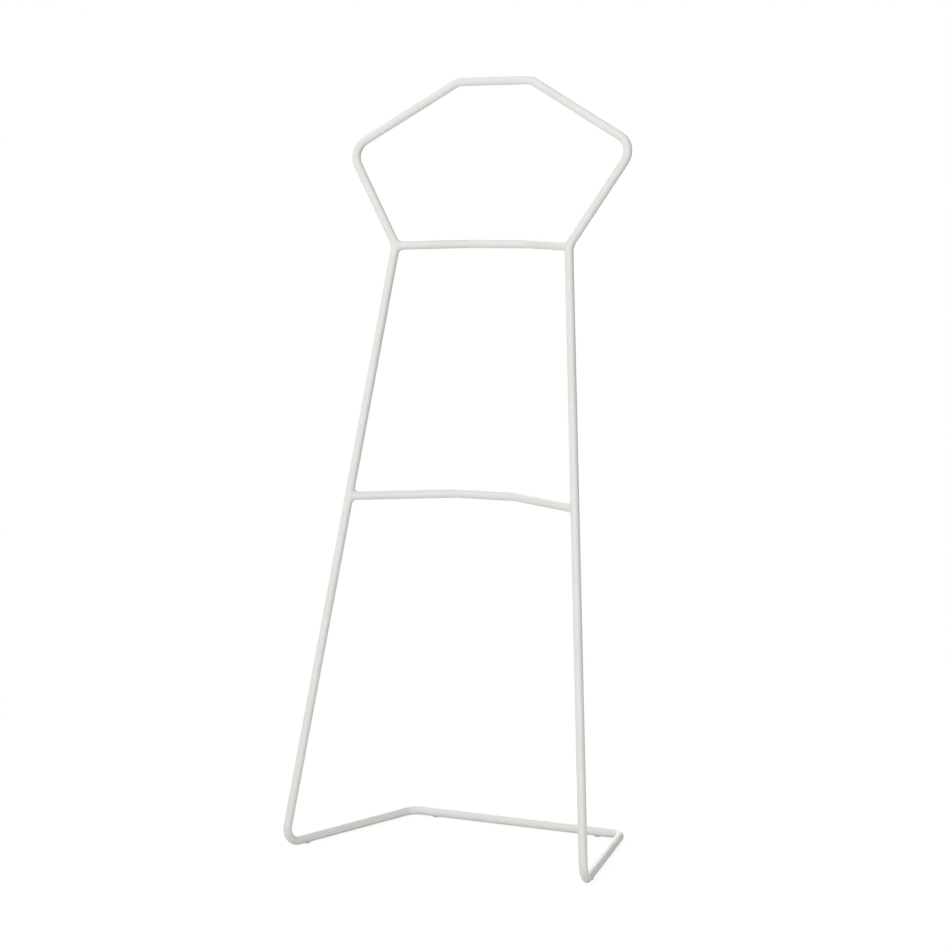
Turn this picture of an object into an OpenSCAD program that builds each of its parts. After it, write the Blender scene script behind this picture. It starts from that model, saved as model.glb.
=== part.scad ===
// Valet stand of bent round tube: a hoop that takes a jacket's shoulders stands on two
// splayed legs that run on into a trapezoid base, with two crossbars welded between them.
// The whole frame leans back so that the hoop is above the rear rail of the base.
// Millimetres, +Z up. The origin is on the floor under the middle of the stand.

/* [Frame outline, measured along tube centre lines] */
// Spacing of the two front feet
foot_span = 500; // [460:5:560]
// Length of the base's rear rail
rear_span = 360; // [320:5:400]
// Depth of the base, from the front feet to the rear rail
base_depth = 253; // [240:1:300]
// Spacing of the legs at the waist, where the hoop begins
waist_span = 290; // [260:5:320]
// Height of the waist above the base
waist_h = 874; // [800:2:950]
// Width of the hoop at the shoulders
shoulder_span = 476; // [420:2:520]
// Height of the shoulders above the base
shoulder_h = 1014; // [990:2:1050]
// Length of the top rail
top_span = 122; // [90:2:160]
// Height of the top rail above the base
top_h = 1110; // [1090:2:1150]
// Angle by which the frame leans back
lean = 12.6; // [8:0.1:13]

/* [Tube] */
// Outside diameter of the tube
tube_d = 12.7; // [10:0.1:16]
// Wall thickness of the tube
tube_wall = 1.5; // [1:0.1:2]
// Centre line radius of the bends at the waist, the shoulders and the top rail
hoop_bend_r = 26; // [18:1:35]
// Centre line radius of the bends at the feet, the rear rail and the crossbars
base_bend_r = 22; // [16:1:30]

/* [Crossbars] */
// Height of the lower crossbar above the base
lower_bar_h = 508; // [400:2:600]
// How far below the middle of the waist's bend the upper crossbar is
upper_bar_drop = 1; // [0:0.5:3]
// Angle by which each crossbar turns back from its weld
bar_turn = 28; // [10:1:32]
// Length of the straight middle of each crossbar
bar_middle = 100; // [60:2:140]

/* [Welds and glides] */
// Leg length of the fillet welds
weld_leg = 6; // [2:0.5:8]
// Diameter of a floor glide
glide_d = 9; // [7:0.5:10]
// Thickness of a floor glide under the tube
glide_t = 1; // [0.6:0.1:3]

/* [Hidden] */
$fn = 48;

LEFT = -1;
RIGHT = 1;
TUBE_R = tube_d / 2;
BORE_R = TUBE_R - tube_wall;
FIT_GAP = 0.05;                 // gap left round a coped tube end before it is welded
WELD_CROWN = 0.6;               // how far a weld stands out beside the tubes
WELD_LEAST = 0.3;               // a weld's width beside the tubes, as a share of its leg length
WELD_STEPS = 40;                // sections round a weld
WELD_CURVE = 4;                 // steps across a weld's hollow face
WELD_SEARCH = 30;               // halvings that find where a weld's root is
BORE_PAST = 1;                  // how far a bore runs on past the tube's ends
COPE_STUB = 3 * tube_d;         // half the length of leg that copes a crossbar's end
JOINT_PAST = 12.5;              // straight tube between the waist's bend and the hoop's end
BEND_SWELL = 0.03;              // a bend's extra radius, so that a straight run ends inside it
BEND_LAP = 0.3;                 // how far a straight run goes into a bend
GLIDE_RIM = 1.2;                // height of a glide's rim above the lowest line of the tube
FRONT_GLIDE_AT = 45;            // from the foot's corner, along the base arm
REAR_GLIDE_AT = 40;             // from the rear corner, along the rear rail
COAT = [0.90, 0.90, 0.87];
CLEAR = [0.85, 0.87, 0.88, 0.5];

AXIS_Z = glide_t + TUBE_R;      // height of the base's centre line

// A point of the leaning frame, before the stand is centred on the origin
function leaning(side, span, h) = [side * span / 2, h * tan(lean), AXIS_Z + h];
function unit(v) = v / norm(v);

// The foot bend's furthest point forward, found from the plane that the bend lies in
FOOT_0 = [foot_span / 2, 0, AXIS_Z];
ARM_DIR = unit([(rear_span - foot_span) / 2, base_depth, 0]);
LEG_DIR = unit(FOOT_0 - leaning(RIGHT, waist_span, waist_h));
FOOT_NORMAL = unit(cross(LEG_DIR, ARM_DIR));
FOOT_TURN = acos(LEG_DIR * ARM_DIR);
FOOT_CENTRE = FOOT_0 + unit(ARM_DIR - LEG_DIR) * base_bend_r / cos(FOOT_TURN / 2);
FRONT_Y = FOOT_CENTRE.y - base_bend_r * sqrt(1 - pow(FOOT_NORMAL.y, 2)) - TUBE_R;

// How far back the straight middle of a crossbar is
function bar_rear(h) =
    let (half_span = (foot_span + (waist_span - foot_span) * h / waist_h) / 2)
    h * tan(lean) + (half_span - bar_middle / 2) * tan(bar_turn);

REAR_Y = TUBE_R + max(
    base_depth, top_h * tan(lean), bar_rear(waist_h), bar_rear(lower_bar_h)
);
CENTRE_Y = (FRONT_Y + REAR_Y) / 2;

// The corners of the frame, where the centre lines would meet
function corner(side, span, h) = leaning(side, span, h) - [0, CENTRE_Y, 0];
function foot(side) = corner(side, foot_span, 0);
function rear(side) = [side * rear_span / 2, base_depth - CENTRE_Y, AXIS_Z];
function waist(side) = corner(side, waist_span, waist_h);
function shoulder(side) = corner(side, shoulder_span, shoulder_h);
function top(side) = corner(side, top_span, top_h);

// Directions up a leg and up the hoop's neck
function leg_dir(side) = unit(waist(side) - foot(side));
function neck_dir(side) = unit(shoulder(side) - waist(side));

// Where the tubes of the hoop and the leg are butt welded, in line and ground flush
function joint(side) =
    waist(side) - leg_dir(side)
        * (setback(leg_dir(side), neck_dir(side), hoop_bend_r) + JOINT_PAST);

// The waist's bend is drawn round this point
function waist_centre(side) =
    let (half = acos(leg_dir(side) * neck_dir(side)) / 2)
    waist(side) + unit(neck_dir(side) - leg_dir(side)) * hoop_bend_r / cos(half);

// Where the crossbars' centre lines meet the frame's
function upper_end(side) =
    let (outwards = unit(waist(side) - waist_centre(side)) * hoop_bend_r)
    waist_centre(side) + unit(outwards - leg_dir(side) * upper_bar_drop) * hoop_bend_r;
function lower_end(side) =
    foot(side) + (waist(side) - foot(side)) * lower_bar_h / waist_h;

// The back corner of a crossbar that starts at a weld and turns back from it
function bar_back(end, side) =
    let (inward = abs(end.x) - bar_middle / 2)
    end + [-side * inward, inward * tan(bar_turn), 0];
function bar_path(left, right) = [left, bar_back(left, LEFT), bar_back(right, RIGHT), right];

HOOP_PATH = [
    joint(LEFT), waist(LEFT), shoulder(LEFT), top(LEFT),
    top(RIGHT), shoulder(RIGHT), waist(RIGHT), joint(RIGHT)
];
LEG_PATH = [
    joint(LEFT), foot(LEFT), rear(LEFT),
    rear(RIGHT), foot(RIGHT), joint(RIGHT)
];

// Puts +Z along a direction at a point
module along(point, dir) {
    translate(point)
        rotate([0, acos(dir.z / norm(dir)), atan2(dir.y, dir.x)])
            children();
}

module rod(a, b, r) {
    along(a, b - a)
        cylinder(h = norm(b - a), r = r);
}

// How far a bend's start is from its corner
function setback(dir_in, dir_out, bend_r) = bend_r * tan(acos(dir_in * dir_out) / 2);

module elbow(point, dir_in, dir_out, bend_r, r) {
    out = -unit(dir_out - dir_in * (dir_in * dir_out));
    up = cross(out, dir_in);
    centre = point - dir_in * setback(dir_in, dir_out, bend_r) - out * bend_r;
    multmatrix([
        [out.x, dir_in.x, up.x, centre.x],
        [out.y, dir_in.y, up.y, centre.y],
        [out.z, dir_in.z, up.z, centre.z],
        [0, 0, 0, 1]
    ])
        rotate_extrude(angle = acos(dir_in * dir_out))
            translate([bend_r, 0])
                circle(r = r + BEND_SWELL);
}

// A solid round bar along a path, with every inner corner bent and both ends run on
module bent_bar(path, bend_r, r, overrun) {
    last = len(path) - 1;
    dirs = [for (i = [1:last]) unit(path[i] - path[i - 1])];
    for (i = [0:last - 1]) {
        trim_start = i == 0 ? -overrun : setback(dirs[i - 1], dirs[i], bend_r) - BEND_LAP;
        trim_end = i == last - 1 ? -overrun : setback(dirs[i], dirs[i + 1], bend_r) - BEND_LAP;
        rod(path[i] + dirs[i] * trim_start, path[i + 1] - dirs[i] * trim_end, r);
    }
    for (i = [1:last - 1])
        elbow(path[i], dirs[i - 1], dirs[i], bend_r, r);
}

module bent_tube(path, bend_r) {
    difference() {
        bent_bar(path, bend_r, TUBE_R, 0);
        bent_bar(path, bend_r, BORE_R, BORE_PAST);
    }
}

// The solid outline of the frame's tube at a crossbar's end, with a gap all round
module waist_core(side) {
    neck_end = waist(side) + neck_dir(side) * COPE_STUB;
    bent_bar([joint(side), waist(side), neck_end], hoop_bend_r, TUBE_R + FIT_GAP, 0);
}

module leg_core(side) {
    stub = leg_dir(side) * COPE_STUB;
    rod(lower_end(side) - stub, lower_end(side) + stub, TUBE_R + FIT_GAP);
}

// The frame's centre line near a crossbar's end, as functions that give its nearest point
function nearest_on_line(spot, point, dir) = point + dir * ((spot - point) * dir);
function leg_line(side) =
    function(spot) nearest_on_line(spot, foot(side), leg_dir(side));
function waist_line(side) =
    let (
        point = waist(side),
        centre = waist_centre(side),
        leg = leg_dir(side),
        neck = neck_dir(side),
        normal = unit(cross(leg, neck))
    )
    function(spot)
        let (rel = spot - centre)
        rel * leg < 0 ? nearest_on_line(spot, point, leg)
            : rel * neck > 0 ? nearest_on_line(spot, point, neck)
            : centre + unit(rel - normal * (rel * normal)) * hoop_bend_r;

// Where a line that starts inside the frame's tube comes out, to be found by halving
function way_out(start, dir, nearest, inside, outside, tries) =
    let (
        half = (inside + outside) / 2,
        spot = start + dir * half,
        is_in = norm(spot - nearest(spot)) < TUBE_R + FIT_GAP
    )
    tries == 0 ? start + dir * outside
        : way_out(start, dir, nearest, is_in ? half : inside, is_in ? outside : half, tries - 1);

// A point on a quarter circle that is hollow towards the corner between two directions
function hollow(corner, leg_a, leg_b, turn) =
    corner + leg_a * (1 - sin(turn)) + leg_b * (1 - cos(turn));

// A spot moved onto a tube of a radius, and the same for a spot only if it is inside the tube
function on_tube(spot, r, nearest) = nearest(spot) + unit(spot - nearest(spot)) * r;
function outside(spot, r, nearest) =
    norm(spot - nearest(spot)) < r ? on_tube(spot, r, nearest) : spot;

// One section of a fillet, from the crossbar's surface to the frame tube's and back under it
function fillet_section(point, bar_dir, out, nearest) =
    let (
        r = TUBE_R + FIT_GAP,
        root = way_out(point + out * r, bar_dir, nearest, 0, 3 * TUBE_R, WELD_SEARCH),
        normal = unit(root - nearest(root)),
        spread = out - normal * (out * normal),
        width = max(norm(spread), WELD_LEAST),
        leg_a = bar_dir * weld_leg * (WELD_LEAST + (1 - WELD_LEAST) * width),
        leg_b = unit(spread) * weld_leg * width,
        crown = normal * WELD_CROWN * (1 - width),
        turns = [for (i = [0:WELD_CURVE]) 90 * i / WELD_CURVE],
        flats = [for (turn = turns) root + leg_b * (1 - cos(turn))],
        under = [for (flat = flats) on_tube(flat, r, nearest)]
    )
    concat(
        [root],
        [for (i = [0:WELD_CURVE])
            // Lets the hollow face down as far as the round tube falls away under it
            outside(
                hollow(root, leg_a, leg_b, turns[i]) + crown * sin(2 * turns[i])
                    + under[i] - flats[i],
                r, nearest
            )
        ],
        [for (i = [WELD_CURVE - 1:-1:1]) under[i]]
    );

// The fillet all round a crossbar's end
module fillet(point, bar_dir, tube_dir, nearest) {
    up = unit(tube_dir - bar_dir * (tube_dir * bar_dir));
    across = cross(bar_dir, up);
    count = 2 * WELD_CURVE + 1;
    sections = [
        for (i = [0:WELD_STEPS - 1])
            let (turn = (i + 0.5) * 360 / WELD_STEPS)
            fillet_section(point, bar_dir, up * cos(turn) + across * sin(turn), nearest)
    ];
    polyhedron(
        points = [for (section = sections) each section],
        faces = [
            for (i = [0:WELD_STEPS - 1], j = [0:count - 1])
                let (
                    this = i * count,
                    other = (i + 1) % WELD_STEPS * count,
                    next = (j + 1) % count
                )
                each [[this + j, this + next, other + next], [this + j, other + next, other + j]]
        ]
    );
}

module glide(point, dir) {
    difference() {
        translate([point.x, point.y, 0])
            cylinder(h = glide_t + GLIDE_RIM, d = glide_d);
        rod(point - dir * glide_d, point + dir * glide_d, TUBE_R);
    }
}

module head_hoop() {
    color(COAT)
        bent_tube(HOOP_PATH, hoop_bend_r);
}

module leg_and_base_tube() {
    color(COAT)
        bent_tube(LEG_PATH, base_bend_r);
}

module upper_crossbar() {
    color(COAT)
        difference() {
            bent_tube(bar_path(upper_end(LEFT), upper_end(RIGHT)), base_bend_r);
            waist_core(LEFT);
            waist_core(RIGHT);
        }
}

module lower_crossbar() {
    color(COAT)
        difference() {
            bent_tube(bar_path(lower_end(LEFT), lower_end(RIGHT)), base_bend_r);
            leg_core(LEFT);
            leg_core(RIGHT);
        }
}

module upper_weld(side) {
    end = upper_end(side);
    color(COAT)
        fillet(
            end, unit(bar_back(end, side) - end), unit(leg_dir(side) + neck_dir(side)),
            waist_line(side)
        );
}

module lower_weld(side) {
    end = lower_end(side);
    color(COAT)
        fillet(end, unit(bar_back(end, side) - end), leg_dir(side), leg_line(side));
}

module front_glide(side) {
    dir = unit(rear(side) - foot(side));
    color(CLEAR)
        glide(foot(side) + dir * FRONT_GLIDE_AT, dir);
}

module rear_glide(side) {
    color(CLEAR)
        glide(rear(side) - [side * REAR_GLIDE_AT, 0, 0], [1, 0, 0]);
}

head_hoop();
leg_and_base_tube();
upper_crossbar();
lower_crossbar();
upper_weld(LEFT);  // upper_weld_left
upper_weld(RIGHT);  // upper_weld_right
lower_weld(LEFT);  // lower_weld_left
lower_weld(RIGHT);  // lower_weld_right
front_glide(LEFT);  // glide_front_left
front_glide(RIGHT);  // glide_front_right
rear_glide(LEFT);  // glide_rear_left
rear_glide(RIGHT);  // glide_rear_right
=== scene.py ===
# %% [markdown]
# # A valet stand of bent tube
#
# A valet stand holds tomorrow's clothes overnight. This one is a line drawing in steel tube:
# a six-sided hoop takes a jacket's shoulders, its two legs splay down to the floor, and each
# leg turns back along the floor to a rear rail. Two crossbars are welded between the legs,
# and every tube is bent to a soft radius and powder coated in one off-white.
#
# The CAD model gives the true size and place of every part. It is loaded first, as a frame
# that never moves, and all that follows is built round it in metres.

# %% Load the frame
import math

import bmesh
import bpy
from mathutils import Matrix, Vector


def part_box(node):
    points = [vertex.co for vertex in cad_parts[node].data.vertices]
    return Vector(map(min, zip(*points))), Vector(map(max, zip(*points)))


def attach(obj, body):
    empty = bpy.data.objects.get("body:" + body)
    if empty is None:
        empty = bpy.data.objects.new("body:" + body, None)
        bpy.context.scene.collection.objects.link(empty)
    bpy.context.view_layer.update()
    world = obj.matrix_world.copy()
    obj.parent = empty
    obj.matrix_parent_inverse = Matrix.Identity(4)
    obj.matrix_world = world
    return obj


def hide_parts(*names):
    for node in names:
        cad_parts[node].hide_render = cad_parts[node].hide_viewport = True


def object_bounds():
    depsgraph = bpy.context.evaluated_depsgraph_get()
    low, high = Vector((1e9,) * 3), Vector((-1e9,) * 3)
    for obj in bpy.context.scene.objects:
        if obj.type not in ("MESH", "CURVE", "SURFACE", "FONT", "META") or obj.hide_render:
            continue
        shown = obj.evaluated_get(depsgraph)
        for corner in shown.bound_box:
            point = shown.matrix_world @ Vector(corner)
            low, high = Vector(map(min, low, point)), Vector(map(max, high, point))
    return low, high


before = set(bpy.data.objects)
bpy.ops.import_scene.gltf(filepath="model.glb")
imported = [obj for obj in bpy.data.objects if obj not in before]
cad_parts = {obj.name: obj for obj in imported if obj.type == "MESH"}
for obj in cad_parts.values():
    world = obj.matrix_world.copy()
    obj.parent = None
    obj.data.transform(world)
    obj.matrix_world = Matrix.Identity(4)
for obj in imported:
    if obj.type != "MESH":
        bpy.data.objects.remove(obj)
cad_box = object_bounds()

MM = 0.001
LEFT, RIGHT = -1, 1
height = cad_box[1].z - cad_box[0].z
print(f"the frame has {len(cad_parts)} parts and is {height:.3f} m high")

# %% [markdown]
# ## The camera
#
# The stand is seen from its front right, a little above its middle, through a long lens from
# about four metres, so that its lines hardly converge. The camera could be aimed with a
# constraint, but a constraint levels the horizon. A hand-held tilt of a degree and a half is
# part of this view, so the turn is built from its three angles: round, down, then tilt.

# %% Camera
CAMERA_SPOT = Vector((2.0664, -3.5255, 1.1085))
CAMERA_ROUND = math.radians(30.157)
CAMERA_DOWN = math.radians(7.750)
CAMERA_TILT = math.radians(1.564)
LENS_MM = 107.84
SENSOR_MM = 36

lens = bpy.data.cameras.new("long_lens")
lens.lens = LENS_MM
lens.sensor_width = SENSOR_MM
camera = bpy.data.objects.new("camera", lens)
bpy.context.scene.collection.objects.link(camera)
bpy.context.scene.camera = camera
turn_round = Matrix.Rotation(CAMERA_ROUND, 4, "Z")
look_down = Matrix.Rotation(math.radians(90) - CAMERA_DOWN, 4, "X")
tilt = Matrix.Rotation(-CAMERA_TILT, 4, "Z")
camera.matrix_world = Matrix.Translation(CAMERA_SPOT) @ turn_round @ look_down @ tilt
print(f"the camera is {CAMERA_SPOT.length:.2f} m from the middle of the floor")

# %% [markdown]
# ## The bender's drawing
#
# A tube bender works from a drawing of centre lines: straight lines that meet at corners,
# and a radius for the tool that rounds each corner. The same few sizes give every corner
# here, and the frame's rear glides say where the rear rail is.

# %% Sizes of the drawing
FOOT_SPAN = 500 * MM
REAR_SPAN = 360 * MM
BASE_DEPTH = 253 * MM
WAIST_SPAN = 290 * MM
WAIST_HEIGHT = 874 * MM
SHOULDER_SPAN = 476 * MM
SHOULDER_HEIGHT = 1014 * MM
TOP_SPAN = 122 * MM
TOP_HEIGHT = 1110 * MM
LEAN = math.radians(12.6)
TUBE_R = 12.7 / 2 * MM
HOOP_BEND_R = 26 * MM
BASE_BEND_R = 22 * MM
JOINT_PAST_BEND = 12.5 * MM
LOWER_BAR_HEIGHT = 508 * MM
UPPER_BAR_DROP = 1 * MM
BAR_TURN = math.radians(28)
BAR_MIDDLE = 100 * MM
GLIDE_UNDER_TUBE = 1 * MM


def middle(node):
    """The middle of a CAD node's box."""
    low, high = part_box(node)
    return (low + high) / 2


axis_z = GLIDE_UNDER_TUBE + TUBE_R
rear_y = middle("glide_rear_left").y
foot_y = rear_y - BASE_DEPTH
print(f"the tube is {2 * TUBE_R / MM:.1f} mm thick and the feet are at y = {foot_y:.4f} m")


# %% Corners of the drawing
def leaning(side, span, high):
    """A corner of the leaning frame, by its height above the base."""
    return Vector((side * span / 2, foot_y + high * math.tan(LEAN), axis_z + high))


def foot(side):
    return leaning(side, FOOT_SPAN, 0)


def rear(side):
    return Vector((side * REAR_SPAN / 2, rear_y, axis_z))


def waist(side):
    return leaning(side, WAIST_SPAN, WAIST_HEIGHT)


def shoulder(side):
    return leaning(side, SHOULDER_SPAN, SHOULDER_HEIGHT)


def top(side):
    return leaning(side, TOP_SPAN, TOP_HEIGHT)


def leg_up(side):
    return (waist(side) - foot(side)).normalized()


for spot in (foot, rear, waist, shoulder, top):
    print(spot.__name__, [round(x / MM, 1) for x in spot(RIGHT)])

# %% [markdown]
# ## Powder coat
#
# The tube's finish is a satin polyester powder coat, sprayed on dry and melted in an oven.
# The melt never levels out completely, which leaves orange peel: shallow waves that make a
# highlight shimmer. Real waves are 1 to 2 mm across, too fine to show on the whole stand,
# so they are drawn 2.4 mm across. The coat reflects like a plastic, so the shader is a
# dielectric of index 1.5, never a metal. A painted bitmap would do for one view, but noise
# on object coordinates has no seams round the tube and keeps its scale everywhere.


# %% Colours and nodes
def linear(hex_colour):
    """A colour given as sRGB hex, in the linear values that shaders use."""
    parts = [int(hex_colour[i:i + 2], 16) / 255 for i in (0, 2, 4)]
    return [c / 12.92 if c <= 0.04045 else ((c + 0.055) / 1.055) ** 2.4 for c in parts] + [1]


def add_node(tree, kind, settings=(), links=()):
    """Adds a shader node, sets its properties or inputs, by name or number, and links to it."""
    node = tree.nodes.new("ShaderNode" + kind)
    for name, value in dict(settings).items():
        if isinstance(name, int) or name in node.inputs:
            node.inputs[name].default_value = value
        else:
            setattr(node, name, value)
    for name, output in dict(links).items():
        tree.links.new(output, node.inputs[name])
    return node


WHITE = linear("FFFFFF")


def waves_per_metre(size):
    """The scale of a noise whose waves are this size, in metres."""
    return 1 / size


print("the coat's off-white in linear values:", [round(c, 3) for c in linear("E2E1DD")[:3]])

# %% Powder coat material
PEEL_SIZE = 2.4 * MM
PEEL_DEPTH = 0.006 * MM
PEEL_DETAIL = 1.5
SHEEN_SIZE = 25 * MM
SHEEN_DETAIL = 2
SATIN_LEAST, SATIN_MOST = 0.31, 0.37
TONE_SIZE = 70 * MM
TONE_DETAIL = 3
THIN_UNDER, FULL_OVER = 0.35, 0.65
NOISE_LOW, NOISE_HIGH = 0.3, 0.7
PLASTIC_IOR = 1.5


def powder_coat(name, thin_colour, full_colour):
    """Satin powder coat: even colour, orange peel and a sheen that drifts along the tube."""
    material = bpy.data.materials.new(name)
    material.use_nodes = True
    tree = material.node_tree
    shader = tree.nodes["Principled BSDF"]
    place = add_node(tree, "TexCoord").outputs["Object"]
    peel = add_node(
        tree, "TexNoise", {"Scale": waves_per_metre(PEEL_SIZE), "Detail": PEEL_DETAIL},
        {"Vector": place},
    )
    peel_bump = add_node(
        tree, "Bump", {"Strength": 1, "Distance": PEEL_DEPTH}, {"Height": peel.outputs["Fac"]}
    )
    tone = add_node(
        tree, "TexNoise", {"Scale": waves_per_metre(TONE_SIZE), "Detail": TONE_DETAIL},
        {"Vector": place},
    )
    ramp = add_node(tree, "ValToRGB", {}, {"Fac": tone.outputs["Fac"]})
    thin, full = ramp.color_ramp.elements
    thin.position, thin.color = THIN_UNDER, linear(thin_colour)
    full.position, full.color = FULL_OVER, linear(full_colour)
    sheen = add_node(
        tree, "TexNoise", {"Scale": waves_per_metre(SHEEN_SIZE), "Detail": SHEEN_DETAIL},
        {"Vector": place},
    )
    satin = add_node(
        tree, "MapRange",
        {"From Min": NOISE_LOW, "From Max": NOISE_HIGH,
         "To Min": SATIN_LEAST, "To Max": SATIN_MOST},
        {"Value": sheen.outputs["Fac"]},
    )
    tree.links.new(ramp.outputs["Color"], shader.inputs["Base Color"])
    tree.links.new(satin.outputs["Result"], shader.inputs["Roughness"])
    tree.links.new(peel_bump.outputs["Normal"], shader.inputs["Normal"])
    shader.inputs["IOR"].default_value = PLASTIC_IOR
    return material


tube_coat = powder_coat("satin_powder_coat", "DFDED9", "E2E1DD")
weld_coat = powder_coat("satin_powder_coat_on_welds", "DEDDD7", "E1E0DB")
print("made", tube_coat.name, "and", weld_coat.name)

# %% [markdown]
# ## Clear glides
#
# The stand rests on four small saddles of clear polyurethane, so that steel never touches
# the floor. Even clear polyurethane looks milky when it is soft and cast: it lets some light
# through and blurs it, which a little rough transmission gives. Glass would look too hard. A
# faint cloud noise keeps the four from looking machined out of one block.

# %% Polyurethane material
CLOUD_SIZE = 3 * MM
CLOUD_DETAIL = 2
CLOUD_SMOOTH, CLOUD_DULL = 0.22, 0.36
LIGHT_LET_THROUGH = 0.25

clear_polyurethane = bpy.data.materials.new("clear_polyurethane")
clear_polyurethane.use_nodes = True
glide_tree = clear_polyurethane.node_tree
glide_shader = glide_tree.nodes["Principled BSDF"]
glide_place = add_node(glide_tree, "TexCoord").outputs["Object"]
cloud = add_node(
    glide_tree, "TexNoise", {"Scale": waves_per_metre(CLOUD_SIZE), "Detail": CLOUD_DETAIL},
    {"Vector": glide_place},
)
cloud_ramp = add_node(glide_tree, "ValToRGB", {}, {"Fac": cloud.outputs["Fac"]})
cloud_ramp.color_ramp.elements[0].color = linear("E3E6E5")
cloud_ramp.color_ramp.elements[1].color = linear("EEF0EF")
cloud_rough = add_node(
    glide_tree, "MapRange", {"To Min": CLOUD_SMOOTH, "To Max": CLOUD_DULL},
    {"Value": cloud.outputs["Fac"]},
)
glide_tree.links.new(cloud_ramp.outputs["Color"], glide_shader.inputs["Base Color"])
glide_tree.links.new(cloud_rough.outputs["Result"], glide_shader.inputs["Roughness"])
glide_shader.inputs["IOR"].default_value = PLASTIC_IOR
glide_shader.inputs["Transmission Weight"].default_value = LIGHT_LET_THROUGH
print("made", clear_polyurethane.name)

# %% [markdown]
# ## Drawing a tube
#
# A curve object with a round bevel would draw a tube too, but its bends would be only as
# true as its handles. Here a ring of vertices is drawn along the centre line the way the
# bender works: it is extruded along each straight run, and spun about the tool's centre
# through each bend, so every bend is a true circle of the tool's radius.

# %% Ring, run and bend
SIDES = 64
RUN_STEP = 40 * MM
BEND_STEP = math.radians(4)


def bend_at(before, corner, after, radius):
    """Where a bend starts, the tool's centre, its axis and the angle that it turns."""
    go_in = (corner - before).normalized()
    go_out = (after - corner).normalized()
    angle = go_in.angle(go_out)
    axis = go_in.cross(go_out).normalized()
    start = corner - go_in * radius * math.tan(angle / 2)
    return start, start + axis.cross(go_in) * radius, axis, angle


def edges_of(verts):
    """The edges at some vertices, each once."""
    return list(dict.fromkeys(edge for vert in verts for edge in vert.link_edges))


def start_ring(bm, point, direction):
    """A ring of edges round the centre line's first point."""
    place = Matrix.Translation(point) @ direction.to_track_quat("Z", "Y").to_matrix().to_4x4()
    made = bmesh.ops.create_circle(bm, segments=SIDES, radius=TUBE_R, matrix=place)
    return edges_of(made["verts"])


def extrude_ring(bm, ring, move):
    """Extrudes a ring of edges by a move, and gives the new ring."""
    made = bmesh.ops.extrude_edge_only(bm, edges=ring)["geom"]
    verts = {item for item in made if isinstance(item, bmesh.types.BMVert)}
    bmesh.ops.translate(bm, verts=list(verts), vec=move)
    return [
        item for item in made
        if isinstance(item, bmesh.types.BMEdge) and verts.issuperset(item.verts)
    ]


def spin_ring(bm, ring, centre, axis, angle):
    """Spins a ring of edges round a bend, and gives the ring at its end."""
    made = bmesh.ops.spin(
        bm, geom=ring, cent=centre, axis=axis, angle=angle,
        steps=math.ceil(angle / BEND_STEP), use_merge=False, use_duplicate=False,
    )
    return [item for item in made["geom_last"] if isinstance(item, bmesh.types.BMEdge)]


def run_ring(bm, ring, start, end):
    """Extrudes a ring along a straight run in equal steps."""
    steps = max(1, round((end - start).length / RUN_STEP))
    for _ in range(steps):
        ring = extrude_ring(bm, ring, (end - start) / steps)
    return ring


print(f"a ring has {SIDES} sides, and a step of a bend is {math.degrees(BEND_STEP):.0f} degrees at most")


# %% Bent tube
def bent_tube(corners, bend_r):
    """A round bar along a centre line, with every inner corner bent and both ends closed."""
    bm = bmesh.new()
    at = corners[0]
    ring = start_ring(bm, at, corners[1] - corners[0])
    for before, corner, after in zip(corners, corners[1:], corners[2:]):
        start, centre, axis, angle = bend_at(before, corner, after, bend_r)
        ring = run_ring(bm, ring, at, start)
        ring = spin_ring(bm, ring, centre, axis, angle)
        at = centre + Matrix.Rotation(angle, 3, axis) @ (start - centre)
    run_ring(bm, ring, at, corners[-1])
    ends = [edge for edge in bm.edges if edge.is_boundary]
    bmesh.ops.holes_fill(bm, edges=ends)
    for edge in ends:
        edge.smooth = False
    return bm


def finish_piece(bm, name, node, material):
    """Turns a bmesh into a piece that stands for a CAD node and rides on the frame."""
    bmesh.ops.recalc_face_normals(bm, faces=bm.faces)
    for face in bm.faces:
        face.smooth = True
    mesh = bpy.data.meshes.new(name)
    bm.to_mesh(mesh)
    bm.free()
    mesh.materials.append(material)
    piece = bpy.data.objects.new(name, mesh)
    bpy.context.scene.collection.objects.link(piece)
    cad_low, cad_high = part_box(node)
    low = Vector(min(v.co[i] for v in mesh.vertices) for i in range(3))
    high = Vector(max(v.co[i] for v in mesh.vertices) for i in range(3))
    off = max(abs(x) for x in (*(low - cad_low), *(high - cad_high))) / MM
    print(f"{name}: {len(mesh.polygons)} faces, its box is within {off:.2f} mm of the frame's")
    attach(piece, "root")
    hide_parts(node)


# %% [markdown]
# ## The hoop
#
# One tube makes the whole hoop: from the end of a leg it bends out at the waist, in at the
# shoulder, level along the top, and the same down the other side. It is butt welded to the
# legs just under the waist, where the joint is ground flush and disappears under the coat.

# %% Hoop
def waist_bend(side):
    """The waist's bend: where it starts, the tool's centre, its axis and angle."""
    return bend_at(foot(side), waist(side), shoulder(side), HOOP_BEND_R)


def joint(side):
    """Where the hoop's tube ends and the leg's tube starts."""
    return waist_bend(side)[0] - leg_up(side) * JOINT_PAST_BEND


hoop_corners = [
    joint(LEFT), waist(LEFT), shoulder(LEFT), top(LEFT),
    top(RIGHT), shoulder(RIGHT), waist(RIGHT), joint(RIGHT),
]
finish_piece(
    bent_tube(hoop_corners, HOOP_BEND_R), "hoop_tube", "head_hoop", tube_coat
)

# %% [markdown]
# ## Legs and base
#
# The second tube is both legs and the base. Each leg comes down and out, turns back at the
# foot through more than a right angle, and runs along the floor to the rear rail. The foot
# bend lies in the plane of leg and base arm, which the spin's axis takes from the corner.

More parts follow.
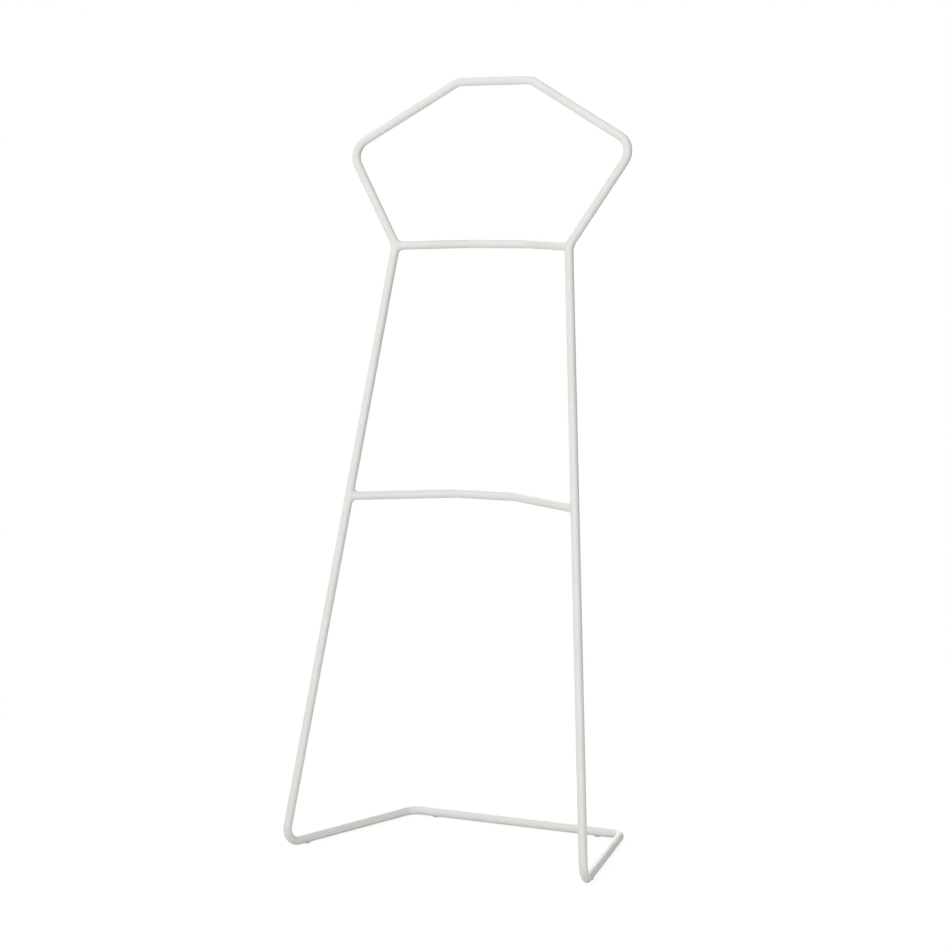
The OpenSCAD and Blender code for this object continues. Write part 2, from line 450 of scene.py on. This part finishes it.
# %% Legs and base
leg_corners = [
    joint(LEFT), foot(LEFT), rear(LEFT), rear(RIGHT), foot(RIGHT), joint(RIGHT),
]
finish_piece(
    bent_tube(leg_corners, BASE_BEND_R), "legs_and_base_tube", "leg_and_base_tube",
    tube_coat,
)

# %% [markdown]
# ## Crossbars
#
# Each crossbar leaves the legs, turns back from the frame's plane, and is straight along its
# middle, so that a folded shirt or trousers hang clear of the legs. The upper one is welded
# on just below the middle of the waist's bend. A welder would cope the ends to the round of
# the leg. Here each bar runs on to the leg's centre line instead, where the leg hides its
# end, and the weld covers the line where they meet.


# %% Crossbars
def upper_end(side):
    """Just below the middle of the waist's bend, where the upper crossbar is welded on."""
    centre = waist_bend(side)[1]
    outwards = (waist(side) - centre).normalized() * HOOP_BEND_R
    return centre + (outwards - leg_up(side) * UPPER_BAR_DROP).normalized() * HOOP_BEND_R


def lower_end(side):
    return foot(side).lerp(waist(side), LOWER_BAR_HEIGHT / WAIST_HEIGHT)


def bar_back(end, side):
    """The crossbar's back corner, on the side of the end that it is reached from."""
    inward = abs(end.x) - BAR_MIDDLE / 2
    return end + Vector((-side * inward, inward * math.tan(BAR_TURN), 0))


for name, end_of in (("upper_crossbar", upper_end), ("lower_crossbar", lower_end)):
    bar_corners = [
        end_of(LEFT), bar_back(end_of(LEFT), LEFT),
        bar_back(end_of(RIGHT), RIGHT), end_of(RIGHT),
    ]
    finish_piece(
        bent_tube(bar_corners, BASE_BEND_R), name + "_tube", name, tube_coat
    )

# %% [markdown]
# ## Welds
#
# A fillet weld fills the corner where a crossbar meets a leg. Its face is hollow and flows
# into both tubes, and the torch leaves fine ripples along it that the coat softens. A bevel
# of the two joined tubes would give the hollow, but at the sides, where the tubes are
# tangent, a bevel folds over itself. So a ring of edges is laid where the tubes meet, and
# extruded strip by strip across the hollow, with each vertex placed on the weld's section.

# %% Weld section
WELD_LEG = 6 * MM
WELD_CROWN = 0.6 * MM
WELD_LEAST = 0.3
WELD_STRIPS = 10
WELD_LIFT = 0.03 * MM
FEATHER = 0.5 * MM
FEATHER_LIFT = 0.01 * MM
RIPPLES = 26
RIPPLE_DEPTH = 0.035 * MM
HALVINGS = 40


def meeting_point(start, direction, nearest):
    """Where a line along the crossbar's surface comes out of the tube that it runs into."""
    inside, outside = 0, 3 * TUBE_R
    for _ in range(HALVINGS):
        half = (inside + outside) / 2
        spot = start + direction * half
        if (spot - nearest(spot)).length < TUBE_R:
            inside = half
        else:
            outside = half
    return start + direction * outside


def on_tube(spot, nearest, lift):
    """The spot, moved straight in or out to the lift above the round tube."""
    return nearest(spot) + (spot - nearest(spot)).normalized() * (TUBE_R + lift)


def above_tube(spot, nearest, lift):
    """The spot, raised to the lift above the round tube if it is lower."""
    if (spot - nearest(spot)).length < TUBE_R + lift:
        return on_tube(spot, nearest, lift)
    return spot


def weld_section(end, bar_dir, out, nearest, turn):
    """The points across a weld, from the crossbar to the tube that it is welded to."""
    root = meeting_point(end + out * TUBE_R, bar_dir, nearest)
    normal = (root - nearest(root)).normalized()
    spread = out - normal * out.dot(normal)
    width = max(spread.length, WELD_LEAST)
    along_bar = bar_dir * WELD_LEG * (WELD_LEAST + (1 - WELD_LEAST) * width)
    along_tube = spread.normalized() * WELD_LEG * width
    raised = root + out * WELD_LIFT
    points = [raised + along_bar + bar_dir * FEATHER - out * (WELD_LIFT - FEATHER_LIFT)]
    for i in range(WELD_STRIPS + 1):
        across = math.pi / 2 * i / WELD_STRIPS
        bulge = math.sin(2 * across)
        ripple = RIPPLE_DEPTH * bulge * math.cos(RIPPLES * turn)
        step_out = along_tube * (1 - math.cos(across))
        flat = root + step_out
        let_down = on_tube(flat, nearest, 0) - flat
        spot = raised + along_bar * (1 - math.sin(across)) + step_out
        spot = spot + normal * (WELD_CROWN * (1 - width) * bulge + ripple) + let_down
        points.append(above_tube(spot, nearest, WELD_LIFT))
    toe = points[-1] + along_tube.normalized() * FEATHER
    points.append(on_tube(toe, nearest, FEATHER_LIFT))
    points.append(root - normal * WELD_LIFT)
    return points


print(f"a weld reaches up to {WELD_LEG / MM:.0f} mm along each tube")

# %% Weld from its sections
WELD_SECTIONS = 208


def follow_ring(ring, old_verts):
    """The new ring's vertices, in the order of the ring that they were extruded from."""
    new = {vert for edge in ring for vert in edge.verts}
    return [
        next(e.other_vert(vert) for e in vert.link_edges if e.other_vert(vert) in new)
        for vert in old_verts
    ]


def weld(name, node, end, back, tube_dir, nearest):
    """A hollow fillet all round the end of a crossbar."""
    bar_dir = (back - end).normalized()
    up = (tube_dir - bar_dir * tube_dir.dot(bar_dir)).normalized()
    side = bar_dir.cross(up)
    sections = []
    for i in range(WELD_SECTIONS):
        turn = 2 * math.pi * (i + 0.5) / WELD_SECTIONS
        out = up * math.cos(turn) + side * math.sin(turn)
        sections.append(weld_section(end, bar_dir, out, nearest, turn))
    bm = bmesh.new()
    verts = bmesh.ops.create_circle(bm, segments=WELD_SECTIONS, radius=TUBE_R)["verts"]
    ring = edges_of(verts)
    loops = [(verts, ring)]
    for _ in sections[0][1:]:
        ring = extrude_ring(bm, ring, Vector())
        verts = follow_ring(ring, verts)
        loops.append((verts, ring))
    for row, (verts, ring) in enumerate(loops):
        for vert, section in zip(verts, sections):
            vert.co = section[row]
    bmesh.ops.bridge_loops(bm, edges=loops[0][1] + loops[-1][1])
    for row in (0, len(loops) - 2, len(loops) - 1):
        for edge in loops[row][1]:
            edge.smooth = False
    finish_piece(bm, name, node, weld_coat)


print(f"a weld has {WELD_SECTIONS} sections of {WELD_STRIPS + 4} points")


# %% Welds
def near_line(spot, point, direction):
    """The point of a straight centre line that is nearest to a spot."""
    return point + direction * (spot - point).dot(direction)


def near_leg(side):
    """A function that gives the nearest point of a leg's centre line."""
    return lambda spot: near_line(spot, foot(side), leg_up(side))


def near_waist(side):
    """The same for the waist's bend and the straight runs that it joins."""
    centre, axis = waist_bend(side)[1:3]
    leg = leg_up(side)
    neck = (shoulder(side) - waist(side)).normalized()

    def nearest(spot):
        away = spot - centre
        if away.dot(leg) < 0:
            return near_line(spot, waist(side), leg)
        if away.dot(neck) > 0:
            return near_line(spot, waist(side), neck)
        return centre + (away - axis * away.dot(axis)).normalized() * HOOP_BEND_R

    return nearest


for side, word in ((LEFT, "left"), (RIGHT, "right")):
    centre, axis = waist_bend(side)[1:3]
    end = upper_end(side)
    weld(f"upper_weld_bead_{word}", f"upper_weld_{word}", end, bar_back(end, side),
         axis.cross(end - centre), near_waist(side))
    end = lower_end(side)
    weld(f"lower_weld_bead_{word}", f"lower_weld_{word}", end, bar_back(end, side),
         leg_up(side), near_leg(side))

# %% [markdown]
# ## Glides
#
# Each glide is a little saddle: flat underneath, round at the edge, and hollowed on top to
# the curve of the tube that it is glued to. A boolean would cut the hollow, but would leave
# long thin triangles. A disc is inset into fine rings instead, and its top is let down onto
# the tube by the circle's own formula.

# %% Glides
GLIDE_R = 4.5 * MM
GLIDE_RIM = 2.2 * MM
GLIDE_EDGE = 0.4 * MM
GLIDE_EDGE_STEPS = 3
GLIDE_RINGS = 8
GLIDE_SIDES = 48
SHARP = math.radians(60)


def glide(name, node, direction):
    """A saddle of clear plastic under a tube that runs along the direction."""
    spot = middle(node)
    across = Vector((-direction.y, direction.x, 0)).normalized()
    bm = bmesh.new()
    place = Matrix.Translation((spot.x, spot.y, 0))
    bmesh.ops.create_circle(
        bm, segments=GLIDE_SIDES, radius=GLIDE_R, cap_ends=True, matrix=place
    )
    made = bmesh.ops.extrude_face_region(bm, geom=bm.faces[:])["geom"]
    lid = [item for item in made if isinstance(item, bmesh.types.BMFace)]
    bmesh.ops.translate(
        bm, verts=[v for v in made if isinstance(v, bmesh.types.BMVert)],
        vec=(0, 0, GLIDE_RIM),
    )
    for _ in range(GLIDE_RINGS - 1):
        bmesh.ops.inset_region(bm, faces=lid, thickness=GLIDE_R / GLIDE_RINGS)
    for vert in bm.verts:
        if vert.co.z > GLIDE_RIM / 2:
            off = (vert.co - spot).dot(across)
            under = axis_z - math.sqrt(TUBE_R ** 2 - off ** 2)
            vert.co.z = min(GLIDE_RIM, under)
    rims = [
        edge for edge in bm.edges
        if len(edge.link_faces) == 2 and edge.calc_face_angle(0) > SHARP
    ]
    bmesh.ops.bevel(
        bm, geom=rims, offset=GLIDE_EDGE, segments=GLIDE_EDGE_STEPS, profile=0.5,
        affect="EDGES", material=-1,
    )
    finish_piece(bm, name, node, clear_polyurethane)


for side, word in ((LEFT, "left"), (RIGHT, "right")):
    glide(f"front_glide_{word}", f"glide_front_{word}", rear(side) - foot(side))
    glide(f"rear_glide_{word}", f"glide_rear_{word}", Vector((1, 0, 0)))

# %% [markdown]
# ## Floor and light
#
# The floor is a sheet of pale acrylic on a light table. The table's own light hides most of
# the shadow under a thin tube, and what is left still shows where the base touches down. A
# plain painted floor would have to be lit until the undersides of the tubes glowed.

# %% Floor
FLOOR_RADIUS = 1.3
FLOOR_SIDES = 96
TABLE_LIGHT = 1.1
TABLE_SHARE = 0.8

floor_bm = bmesh.new()
bmesh.ops.create_circle(floor_bm, segments=FLOOR_SIDES, radius=FLOOR_RADIUS, cap_ends=True)
floor_mesh = bpy.data.meshes.new("floor")
floor_bm.to_mesh(floor_mesh)
floor_bm.free()
floor = bpy.data.objects.new("floor", floor_mesh)
bpy.context.scene.collection.objects.link(floor)
acrylic = bpy.data.materials.new("lit_pale_acrylic")
acrylic.use_nodes = True
acrylic_tree = acrylic.node_tree
sheet = acrylic_tree.nodes["Principled BSDF"]
sheet.inputs["Base Color"].default_value = linear("E2E2E1")
sheet.inputs["Roughness"].default_value = 1
sheet.inputs["Specular IOR Level"].default_value = 0
glow = add_node(acrylic_tree, "Emission", {"Color": WHITE, "Strength": TABLE_LIGHT})
towards_camera = add_node(
    acrylic_tree, "Math", {"operation": "MULTIPLY", 1: TABLE_SHARE},
    {0: add_node(acrylic_tree, "LightPath").outputs["Is Camera Ray"]},
)
lit_sheet = add_node(
    acrylic_tree, "MixShader", {},
    {0: towards_camera.outputs["Value"], 1: sheet.outputs["BSDF"], 2: glow.outputs["Emission"]},
)
acrylic_out = acrylic_tree.nodes["Material Output"]
acrylic_tree.links.new(lit_sheet.outputs["Shader"], acrylic_out.inputs["Surface"])
floor_mesh.materials.append(acrylic)
print("the floor is", acrylic.name)

# %% [markdown]
# ## Light
#
# Most of the light comes from the room itself: white walls all round, which keep every tube
# an even off-white, but for one dark screen at the right and a little behind. The screen
# draws a thin dark line down the right of each tube, without which white tubes on a white
# ground lose their edges. Three weak soft boxes add a gentle top and rim. They could be area
# lights close by, but those fall off over the stand's height, so they are wide suns.

# %% Light
BOX_WIDTH = 50


def direction_of(round_from_front, above):
    """A direction, in degrees round towards the right from the front, and above the floor."""
    turn, up = math.radians(round_from_front), math.radians(above)
    return Vector((math.sin(turn) * math.cos(up), -math.cos(turn) * math.cos(up), math.sin(up)))


def soft_box(name, round_from_front, above, strength):
    """A sun as wide as a soft box, that shines from a direction."""
    light = bpy.data.lights.new(name, "SUN")
    light.angle = math.radians(BOX_WIDTH)
    light.energy = strength
    box = bpy.data.objects.new(name, light)
    source = direction_of(round_from_front, above)
    box.rotation_euler = source.to_track_quat("Z", "Y").to_euler()
    bpy.context.scene.collection.objects.link(box)
    print(f"{name} shines from {round_from_front} degrees round and {above} degrees up")


soft_box("top_right_box", 90, 45, 0.74)
soft_box("back_left_box", -150, 20, 0.6)
soft_box("front_box", 30, 10, 0.52)

# %% Room
ROOM_LIGHT = 0.97
SCREEN_ROUND, SCREEN_ABOVE = 125, 15
# How near a direction is to the screen's, as a cosine, where the dark begins and is full
SCREEN_EDGE, SCREEN_CORE = 0.2, 0.7

room = bpy.data.worlds.new("white_room_with_dark_screen")
bpy.context.scene.world = room
room.use_nodes = True
room_tree = room.node_tree
room_tree.nodes.clear()
towards_screen = add_node(
    room_tree, "VectorMath",
    {"operation": "DOT_PRODUCT", 1: direction_of(SCREEN_ROUND, SCREEN_ABOVE)},
    {0: add_node(room_tree, "TexCoord").outputs["Generated"]},
)
room_light = add_node(
    room_tree, "MapRange",
    {"From Min": SCREEN_EDGE, "From Max": SCREEN_CORE, "To Min": ROOM_LIGHT, "To Max": 0},
    {"Value": towards_screen.outputs["Value"]},
)
walls = add_node(
    room_tree, "Background", {"Color": WHITE}, {"Strength": room_light.outputs["Result"]}
)
backdrop = add_node(room_tree, "Background", {"Color": WHITE, "Strength": 1})
room_seen = add_node(
    room_tree, "MixShader", {},
    {0: add_node(room_tree, "LightPath").outputs["Is Camera Ray"],
     1: walls.outputs["Background"], 2: backdrop.outputs["Background"]},
)
add_node(room_tree, "OutputWorld", {}, {"Surface": room_seen.outputs["Shader"]})
bpy.context.scene.view_settings.view_transform = "Standard"
print(f"the room is {ROOM_LIGHT} bright, and its dark screen is {SCREEN_ROUND} degrees round")
